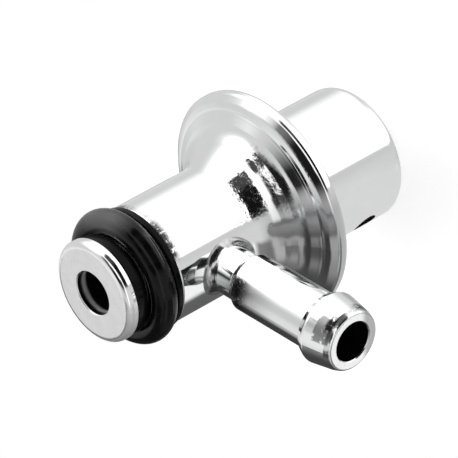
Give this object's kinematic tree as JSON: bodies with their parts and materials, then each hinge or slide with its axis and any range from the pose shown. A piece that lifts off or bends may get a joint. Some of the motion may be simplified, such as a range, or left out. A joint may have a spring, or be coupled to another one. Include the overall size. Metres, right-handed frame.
{
  "type": "fuel pressure regulator",
  "caption": "Fuel pressure regulator: bright-plated steel housing with an O-ring nose, a bell flange, a side hose outlet and a vented spring cover.",
  "frame": {"origin": "on the main axis at the end face of the spring cover, which the part stands on", "axes": "+Z along the main axis towards the inlet nose, +X along the outlet pipe"},
  "size_m": [0.0468, 0.0312, 0.0467],
  "materials": {
    "plated_steel": "bright plated",
    "cover_steel": "bright plated, drawn",
    "pipe_steel": "bright plated, turned",
    "braze_metal": "plated braze",
    "cap_steel": "satin plated, turned",
    "ring_plastic": "satin",
    "oring_rubber": "oiled",
    "strainer_plastic": "moulded",
    "mesh_steel": "woven look",
    "block_brass": "turned",
    "seat_steel": "ground",
    "ball_steel": "polished",
    "spring_steel": "drawn wire",
    "holder_steel": "turned",
    "diaphragm_rubber": "cloth-backed",
    "seat_sheet": "pressed"
  },
  "bodies": {
    "regulator_body": {"inlet_housing": "plated_steel", "spring_cover": "cover_steel", "outlet_pipe": "pipe_steel", "braze_fillet": "braze_metal", "inlet_cap": "cap_steel", "guide_ring": "ring_plastic", "inlet_oring": "oring_rubber", "backup_ring": "ring_plastic", "strainer_frame": "strainer_plastic", "strainer_mesh": "mesh_steel", "seat_block": "block_brass", "valve_seat": "seat_steel", "diaphragm": "diaphragm_rubber", "main_spring": "spring_steel", "end_seat": "seat_sheet"},
    "valve_group": {"valve_holder": "holder_steel", "valve_ball": "ball_steel", "ball_spring": "spring_steel", "ball_retainer": "seat_steel", "diaphragm_washer": "holder_steel", "spring_seat": "seat_sheet"}
  },
  "joints": [
    {"name": "valve_lift", "type": "slide", "parent": "regulator_body", "child": "valve_group", "axis": [0, 0, -1], "range_m": [0, 0.0008], "stiffness_N_per_m": 12000, "deforming": ["main_spring", "diaphragm"]}
  ]
}
